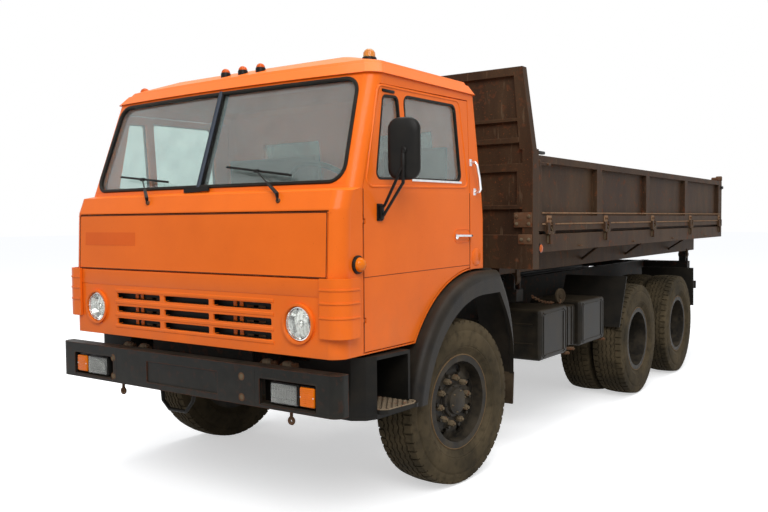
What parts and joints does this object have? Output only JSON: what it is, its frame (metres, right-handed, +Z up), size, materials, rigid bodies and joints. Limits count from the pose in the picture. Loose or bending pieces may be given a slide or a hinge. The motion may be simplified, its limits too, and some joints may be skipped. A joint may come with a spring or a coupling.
{
  "type": "cab-over six-wheel side-tipping dump truck",
  "caption": "Cab-over dump truck with an orange cab and a brown steel bed that tips to its left; wheels roll, front wheels steer, cab, doors, hatch and drop sides move.",
  "frame": {"origin": "on the ground, under the middle of the truck's length and width", "axes": "+X towards the truck's left, -Y towards its front, +Z up"},
  "size_m": [2.58, 7.519, 2.69],
  "materials": {
    "frame_black": "satin, dusty",
    "axle_iron": "rough",
    "spring_steel": "rough",
    "engine_grey": "rough",
    "radiator_black": "matt",
    "bumper_black": "satin",
    "lamp_glass": "clear",
    "amber_glass": "clear",
    "wing_plastic": "matt",
    "cab_orange": "gloss",
    "window_glass": "clear",
    "seat_cloth": "matt",
    "dash_plastic": "matt",
    "trim_black": "satin",
    "rubber_black": "matt",
    "tyre_rubber": "matt, dusty",
    "rim_black": "satin, dusty",
    "bed_brown": "worn",
    "ram_steel": "bright"
  },
  "bodies": {
    "chassis": {"frame": "frame_black", "subframe": "frame_black", "engine": "engine_grey", "radiator": "radiator_black", "front_axle": "axle_iron", "drive_axles": "axle_iron", "propshafts": "axle_iron", "leaf_springs": "spring_steel", "cab_rest": "frame_black", "bumper": "bumper_black", "bumper_lamps": "lamp_glass", "wings": "wing_plastic", "steps": "bumper_black", "side_boxes": "frame_black", "rear_guards": "rubber_black", "tail_bar": "frame_black"},
    "cab": {"cab_shell": "cab_orange", "cab_glass": "window_glass", "headlamps": "lamp_glass", "seats": "seat_cloth", "dashboard": "dash_plastic", "deflectors": "cab_orange", "roof_lamps": "amber_glass", "wipers": "trim_black"},
    "door_left": {"door_left": "cab_orange", "door_glass_left": "window_glass", "mirror_left": "trim_black"},
    "door_right": {"door_right": "cab_orange", "door_glass_right": "window_glass"},
    "hatch": {"front_hatch": "cab_orange"},
    "knuckle_left": {"knuckle_left": "axle_iron"},
    "knuckle_right": {"knuckle_right": "axle_iron"},
    "tie_rod": {"tie_rod": "axle_iron"},
    "bed": {"bed_tray": "bed_brown"},
    "board_left": {"side_board_left": "bed_brown"},
    "board_right": {"side_board_right": "bed_brown"},
    "ram_barrel": {"ram_barrel": "frame_black"},
    "ram_stage": {"ram_stage": "ram_steel"},
    "ram_rod": {"ram_rod": "ram_steel"},
    "front_wheel_left": {"front_tyre_left": "tyre_rubber", "front_rim_left": "rim_black"},
    "mid_wheels_left": {"mid_tyres_left": "tyre_rubber", "mid_rims_left": "rim_black"},
    "rear_wheels_left": {"rear_tyres_left": "tyre_rubber", "rear_rims_left": "rim_black"},
    "front_wheel_right": {"front_tyre_right": "tyre_rubber", "front_rim_right": "rim_black"},
    "mid_wheels_right": {"mid_tyres_right": "tyre_rubber", "mid_rims_right": "rim_black"},
    "rear_wheels_right": {"rear_tyres_right": "tyre_rubber", "rear_rims_right": "rim_black"}
  },
  "joints": [
    {"name": "roll_front_left", "type": "hinge", "parent": "knuckle_left", "child": "front_wheel_left", "pos_m": [1.00413, -2.49238, 0.515], "axis": [0.9951, -0.0993, 0], "continuous": true},
    {"name": "roll_mid_left", "type": "hinge", "parent": "chassis", "child": "mid_wheels_left", "pos_m": [0.9125, 0.715, 0.515], "axis": [1, 0, 0], "continuous": true},
    {"name": "roll_rear_left", "type": "hinge", "parent": "chassis", "child": "rear_wheels_left", "pos_m": [0.9125, 2.035, 0.515], "axis": [1, 0, 0], "continuous": true},
    {"name": "steer_left", "type": "hinge", "parent": "chassis", "child": "knuckle_left", "pos_m": [0.83, -2.475, 0.515], "axis": [0, 0, 1], "range_deg": [-29.3, 40.7]},
    {"name": "roll_front_right", "type": "hinge", "parent": "knuckle_right", "child": "front_wheel_right", "pos_m": [-1.00413, -2.45762, 0.515], "axis": [0.9951, -0.0993, 0], "continuous": true},
    {"name": "roll_mid_right", "type": "hinge", "parent": "chassis", "child": "mid_wheels_right", "pos_m": [-0.9125, 0.715, 0.515], "axis": [1, 0, 0], "continuous": true},
    {"name": "roll_rear_right", "type": "hinge", "parent": "chassis", "child": "rear_wheels_right", "pos_m": [-0.9125, 2.035, 0.515], "axis": [1, 0, 0], "continuous": true},
    {"name": "steer_right", "type": "hinge", "parent": "chassis", "child": "knuckle_right", "pos_m": [-0.83, -2.475, 0.515], "axis": [0, 0, 1], "range_deg": [-29.3, 40.7]},
    {"name": "tie_rod_swing", "type": "hinge", "parent": "knuckle_left", "child": "tie_rod", "pos_m": [0.84887, -2.28594, 0.378], "axis": [0, 0, 1], "range_deg": [-40.7, 29.3]},
    {"name": "cab_tilt", "type": "hinge", "parent": "chassis", "child": "cab", "pos_m": [0, -3.609, 0.96], "axis": [1, 0, 0], "range_deg": [0, 42]},
    {"name": "door_left_swing", "type": "hinge", "parent": "cab", "child": "door_left", "pos_m": [1.1, -3.471, 1.6], "axis": [0, 0, -1], "range_deg": [0, 65]},
    {"name": "door_right_swing", "type": "hinge", "parent": "cab", "child": "door_right", "pos_m": [-1.1, -3.471, 1.6], "axis": [0, 0, 1], "range_deg": [0, 65]},
    {"name": "hatch_lift", "type": "hinge", "parent": "cab", "child": "hatch", "pos_m": [0, -3.673, 1.686], "axis": [-1, 0, 0], "range_deg": [0, 75]},
    {"name": "bed_tip", "type": "hinge", "parent": "chassis", "child": "bed", "pos_m": [0.9, 1, 1.2], "axis": [0, 1, 0], "range_deg": [0, 50]},
    {"name": "board_left_drop", "type": "hinge", "parent": "bed", "child": "board_left", "pos_m": [1.25, 1.025, 1.5475], "axis": [0, 1, 0], "range_deg": [0, 130]},
    {"name": "board_right_drop", "type": "hinge", "parent": "bed", "child": "board_right", "pos_m": [-1.25, 1.025, 1.5475], "axis": [0, -1, 0], "range_deg": [0, 130]},
    {"name": "ram_swing", "type": "hinge", "parent": "chassis", "child": "ram_barrel", "pos_m": [0, -0.325, 0.79], "axis": [0, 1, 0], "range_deg": [0, 25]},
    {"name": "ram_stage_out", "type": "slide", "parent": "ram_barrel", "child": "ram_stage", "axis": [0, 0, 1], "range_m": [0, 0.36]},
    {"name": "ram_rod_out", "type": "slide", "parent": "ram_stage", "child": "ram_rod", "axis": [0, 0, 1], "range_m": [0, 0.36]}
  ],
  "couplings": [
    {"joint": "steer_right", "follows": "steer_left", "ratio": 1},
    {"joint": "tie_rod_swing", "follows": "steer_left", "ratio": -1},
    {"joint": "ram_swing", "follows": "bed_tip", "ratio": 0.39644},
    {"joint": "ram_stage_out", "follows": "bed_tip", "m_per_rad": 0.40929},
    {"joint": "ram_rod_out", "follows": "bed_tip", "m_per_rad": 0.40929}
  ]
}
